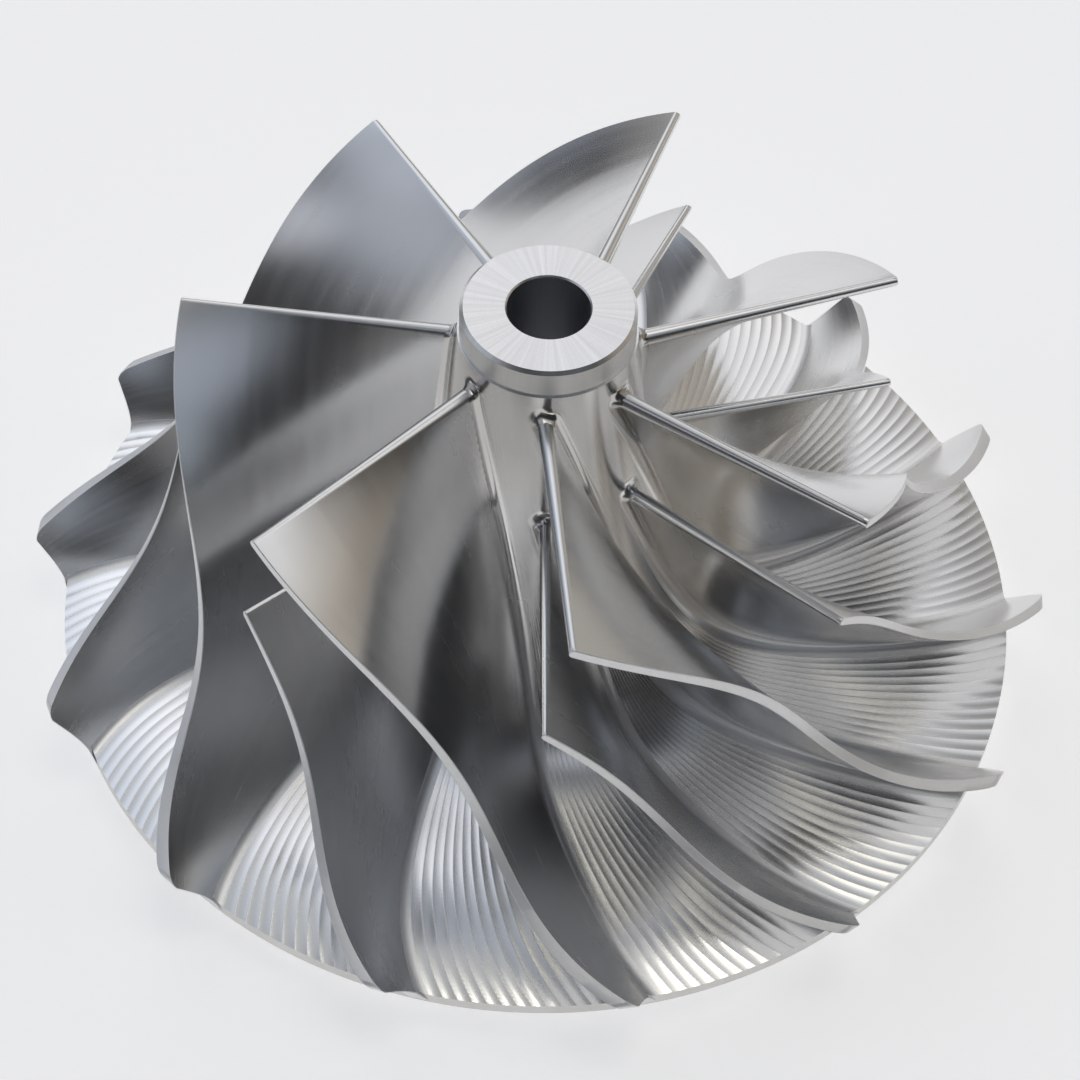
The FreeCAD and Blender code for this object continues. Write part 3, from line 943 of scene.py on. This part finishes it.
def milled_floor():
    """The floor between the blades: bright ball-cutter passes with short cross ticks, a painted highlight
    along each cusp and painted shade up towards the neck.
    """
    metal = Metal("milled_floor")
    tree = metal.tree
    passes = calc(tree, "FLOOR", metal.across)
    inside = calc(tree, "FRACT", metal.across)
    streaks = use_effect(tree, STREAKS, Along=metal.along,
                         Across=calc(tree, "MULTIPLY", metal.across, 2.0), Length=7.0, Width=0.3)
    grain = use_effect(tree, GRAIN, Size=0.0004, Seed=3.0)
    offset = tree.nodes.new("ShaderNodeTexWhiteNoise")
    offset.noise_dimensions = "1D"
    link(tree, passes, offset.inputs["W"])
    turns = calc(tree, "ADD", calc(tree, "DIVIDE", metal.along, TICK_PITCH), offset.outputs[0])
    ticks = calc(tree, "ABSOLUTE", calc(tree, "SINE", calc(tree, "MULTIPLY", turns, math.pi)))
    from_middle = calc(tree, "ABSOLUTE", calc(tree, "SUBTRACT", calc(tree, "MULTIPLY", inside, 2.0), 1.0))
    edge = calc(tree, "POWER", from_middle, 4.0)
    spell = tree.nodes.new("ShaderNodeCombineXYZ")
    link(tree, calc(tree, "DIVIDE", metal.along, 9.0), spell.inputs[0])
    link(tree, calc(tree, "DIVIDE", passes, 5.0), spell.inputs[1])
    strength = spread(tree, noise(tree, spell.outputs[0], 1.0, 1.0), 0.40, 0.62, 0.15, 1.0)
    place = tree.nodes.new("ShaderNodeTexCoord")
    heights = tree.nodes.new("ShaderNodeSeparateXYZ")
    link(tree, place.outputs["Object"], heights.inputs[0])
    low = spread(tree, heights.outputs[2], 0.012, 0.026, 1.0, 0.0)
    ticks = calc(tree, "MULTIPLY", calc(tree, "MULTIPLY", ticks, edge),
                 calc(tree, "MULTIPLY", strength, low))
    # Painted highlight: a thin bright line in the colour along each cusp between passes; the same mask
    # makes the cusps rougher.
    ridges_with_painted_glint = calc(tree, "MULTIPLY", calc(tree, "POWER", from_middle, 12.0), low)
    shade = calc(tree, "ADD", calc(tree, "MULTIPLY", streaks["Shade"], 0.6),
                 calc(tree, "MULTIPLY", grain["Cloud"], 0.4))
    # Painted shade: the floor's colour goes to the dark colour up towards the neck, fully dark from 38 mm
    # over the table.
    neck_painted_shade = spread(tree, heights.outputs[2], 0.024, 0.038, 1.0, 0.0)
    bright = calc(tree, "MAXIMUM", calc(tree, "ADD", calc(tree, "MULTIPLY", shade, 0.3), 0.65), ridges_with_painted_glint)
    metal.colour(calc(tree, "MULTIPLY", bright, neck_painted_shade), (0.58, 0.565, 0.545), (0.97, 0.97, 0.97))
    dull = calc(tree, "ADD", spread(tree, shade, 0.3, 0.7, 0.14, 0.24),
                calc(tree, "MULTIPLY", ridges_with_painted_glint, 0.22))
    link(tree, dull, metal.shader.inputs["Roughness"])
    normal = metal.bump(streaks["Height"], 0.0012)
    normal = metal.bump(ticks, 0.006, normal)
    metal.bump(calc(tree, "SUBTRACT", grain["Grain"], grain["Nicks"]), 0.0008, normal)
    return metal.material


def turned_face(name, smooth, rough, dark, light, seed, depth):
    """Faces cut on the lathe, with fine rings round the axis and radial streaks of painted sheen in the
    colour.
    """
    metal = Metal(name, 0.55)
    tree = metal.tree
    place = tree.nodes.new("ShaderNodeTexCoord")
    parts = tree.nodes.new("ShaderNodeSeparateXYZ")
    link(tree, place.outputs["Object"], parts.inputs[0])
    radius = calc(tree, "MULTIPLY", calc(tree, "SQRT", calc(
        tree, "ADD", calc(tree, "MULTIPLY", parts.outputs[0], parts.outputs[0]),
        calc(tree, "MULTIPLY", parts.outputs[1], parts.outputs[1]))), 1000.0)
    step = calc(tree, "ADD", radius, calc(tree, "MULTIPLY", parts.outputs[2], 1000.0))
    around = calc(tree, "ARCTAN2", parts.outputs[1], parts.outputs[0])
    ring_marks = use_effect(tree, STREAKS, Along=around, Across=step, Length=2.5, Width=0.05)
    grain = use_effect(tree, GRAIN, Size=0.0003, Seed=seed)
    # Painted sheen: radial streaks in the colour that stand in for the highlights of a turned face.
    painted_sheen = use_effect(tree, STREAKS, Along=radius, Across=around, Length=30.0, Width=0.07)
    metal.colour(calc(tree, "ADD", calc(tree, "MULTIPLY", ring_marks["Shade"], 0.3),
                      spread(tree, painted_sheen["Height"], 0.3, 0.7, 0.2, 0.65)), dark, light)
    metal.roughness(ring_marks["Shade"], smooth, rough)
    direction = tree.nodes.new("ShaderNodeTangent")
    direction.direction_type = "RADIAL"
    direction.axis = "Z"
    link(tree, direction.outputs[0], metal.shader.inputs["Tangent"])
    normal = metal.bump(ring_marks["Height"], depth)
    metal.bump(calc(tree, "SUBTRACT", grain["Grain"], grain["Nicks"]), 0.00015, normal)
    return metal.material


flank_finish = milled_flank()
edge_finish = turned_edge()
floor_finish = milled_floor()
turned_finish = turned_face(
    "turned_face", 0.20, 0.30, (0.68, 0.68, 0.685), (0.98, 0.98, 0.985), 4.0, 0.00012)
rim_finish = turned_face(
    "turned_rim", 0.34, 0.46, (0.62, 0.61, 0.59), (0.72, 0.71, 0.69), 5.0, 0.003)
bore_finish = turned_face(
    "reamed_bore", 0.28, 0.4, (0.74, 0.75, 0.78), (0.84, 0.85, 0.88), 6.0, 0.002)

pieces = [hub_mesh().build("hub", [floor_finish, turned_finish, rim_finish, bore_finish])]
for number in range(BLADE_COUNT):
    pieces.append(blade_mesh(full, number).build(
        "full_blade_%d" % (number + 1), [flank_finish, edge_finish]))
    pieces.append(blade_mesh(splitter, number).build(
        "splitter_blade_%d" % (number + 1), [flank_finish, edge_finish]))
for piece in pieces:
    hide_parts("compressor_wheel")
    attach(piece, "root")

# Table, light and camera

TABLE_HALF_WIDTH = 1.5
TABLE_GLOW = 0.45

table_mesh = bpy.data.meshes.new("table")
table_mesh.from_pydata(
    [(x * TABLE_HALF_WIDTH, y * TABLE_HALF_WIDTH, 0) for x, y in ((-1, -1), (1, -1), (1, 1), (-1, 1))],
    [], [(0, 1, 2, 3)])
table = bpy.data.objects.new("table", table_mesh)
bpy.context.scene.collection.objects.link(table)


def white_table():
    """Matt white paper that the camera and the metal both see as a white ground with its shadows."""
    material = bpy.data.materials.new("white_table")
    material.use_nodes = True
    tree = material.node_tree
    shader = tree.nodes["Principled BSDF"]
    shader.inputs["Roughness"].default_value = 0.85
    place = tree.nodes.new("ShaderNodeTexCoord")
    fibres = noise(tree, place.outputs["Object"], 900.0, 3.0)
    shades = tree.nodes.new("ShaderNodeCombineColor")
    for channel in range(3):
        link(tree, spread(tree, fibres, 0.3, 0.7, 0.88, 0.90), shades.inputs[channel])
    link(tree, shades.outputs[0], shader.inputs["Base Color"])
    path = tree.nodes.new("ShaderNodeLightPath")
    seen = calc(tree, "MAXIMUM", path.outputs["Is Camera Ray"], calc(
        tree, "MAXIMUM", path.outputs["Is Glossy Ray"], path.outputs["Is Transmission Ray"]))
    link(tree, calc(tree, "MULTIPLY", seen, TABLE_GLOW), shader.inputs["Emission Strength"])
    shader.inputs["Emission Color"].default_value = (1, 1, 1, 1)
    return material


table_mesh.materials.append(white_table())

# The room is dim towards the camera. Each soft light: azimuth and height over the table, the
# half angle up to which it is full and the one at which it ends, and its colour.
ROOM = (0.035, 0.035, 0.036)
SOFT_LIGHTS = {
    "back window": (93, 44, 9, 30, (0.72, 0.72, 0.74)),
    "back wall": (95, 15, 10, 38, (0.40, 0.39, 0.38)),
    "left back wall": (143, 38, 10, 33, (0.33, 0.36, 0.42)),
    "right back wall": (44, 23, 12, 30, (0.40, 0.375, 0.34)),
    "left roof": (129, 54, 6, 29, (0.38, 0.41, 0.46)),
    "right roof": (18, 66, 8, 31, (0.72, 0.74, 0.77)),
    "roof": (120, 86, 6, 26, (0.36, 0.36, 0.35)),
    "warm lamp": (31, 77, 4, 14, (0.70, 0.58, 0.34)),
    "bright lamp": (70, 80, 1.5, 5, (3.0, 3.0, 2.9)),
    "right window": (2, 45, 6, 22, (0.38, 0.36, 0.34)),
    "right wall": (10, 20, 10, 34, (0.27, 0.235, 0.19)),
    "left window": (206, 46, 5, 17, (0.53, 0.55, 0.60)),
    "left wall": (181, 20, 10, 37, (0.40, 0.43, 0.49)),
    "front light": (-86, 63, 6, 24, (0.34, 0.38, 0.45)),
    "right front light": (-46, 50, 5, 15, (0.28, 0.32, 0.37)),
    "front wall": (-98, 8, 4, 22, (0.15, 0.15, 0.15)),
}


def studio():
    world = bpy.data.worlds.new("studio")
    world.use_nodes = True
    tree = world.node_tree
    place = tree.nodes.new("ShaderNodeTexCoord")
    total = ROOM
    for azimuth, height, inner, outer, colour in SOFT_LIGHTS.values():
        turn, lift = math.radians(azimuth), math.radians(height)
        towards = (math.cos(turn) * math.cos(lift), math.sin(turn) * math.cos(lift), math.sin(lift))
        nearness = tree.nodes.new("ShaderNodeVectorMath")
        nearness.operation = "DOT_PRODUCT"
        link(tree, place.outputs["Generated"], nearness.inputs[0])
        nearness.inputs[1].default_value = towards
        gap = calc(tree, "ARCCOSINE", nearness.outputs["Value"])
        window = tree.nodes.new("ShaderNodeMapRange")
        window.interpolation_type = "SMOOTHSTEP"
        for socket, value in zip(window.inputs, (gap, math.radians(inner), math.radians(outer), 1.0, 0.0)):
            link(tree, value, socket)
        light = tree.nodes.new("ShaderNodeVectorMath")
        light.operation = "MULTIPLY_ADD"
        light.inputs[0].default_value = colour
        link(tree, window.outputs[0], light.inputs[1])
        link(tree, total, light.inputs[2])
        total = light.outputs[0]
    link(tree, total, tree.nodes["Background"].inputs["Color"])
    return world


bpy.context.scene.world = studio()

CAMERA_DISTANCE = 298.58
CAMERA_ELEVATION = 52.827
CAMERA_LENS = 92.835
CAMERA_SENSOR = 36
# The last small turns of the camera, about its own Y, X and Z.
CAMERA_TURNS = (("Y", -0.015), ("X", 1.218), ("Z", 2.336))
camera_data = bpy.data.cameras.new("camera")
camera_data.sensor_width = CAMERA_SENSOR
camera_data.lens = CAMERA_LENS
camera = bpy.data.objects.new("camera", camera_data)
bpy.context.scene.collection.objects.link(camera)
lift = math.radians(CAMERA_ELEVATION)
stand = Vector((0, -CAMERA_DISTANCE * math.cos(lift), CAMERA_DISTANCE * math.sin(lift) + BOSS_HEIGHT))
aim = Matrix.Translation(stand * 0.001) @ Matrix.Rotation(math.pi / 2 - lift, 4, "X")
for axis, turn in CAMERA_TURNS:
    aim = aim @ Matrix.Rotation(math.radians(turn), 4, axis)
camera.matrix_world = aim
bpy.context.scene.camera = camera
bpy.context.scene.view_settings.view_transform = "Standard"
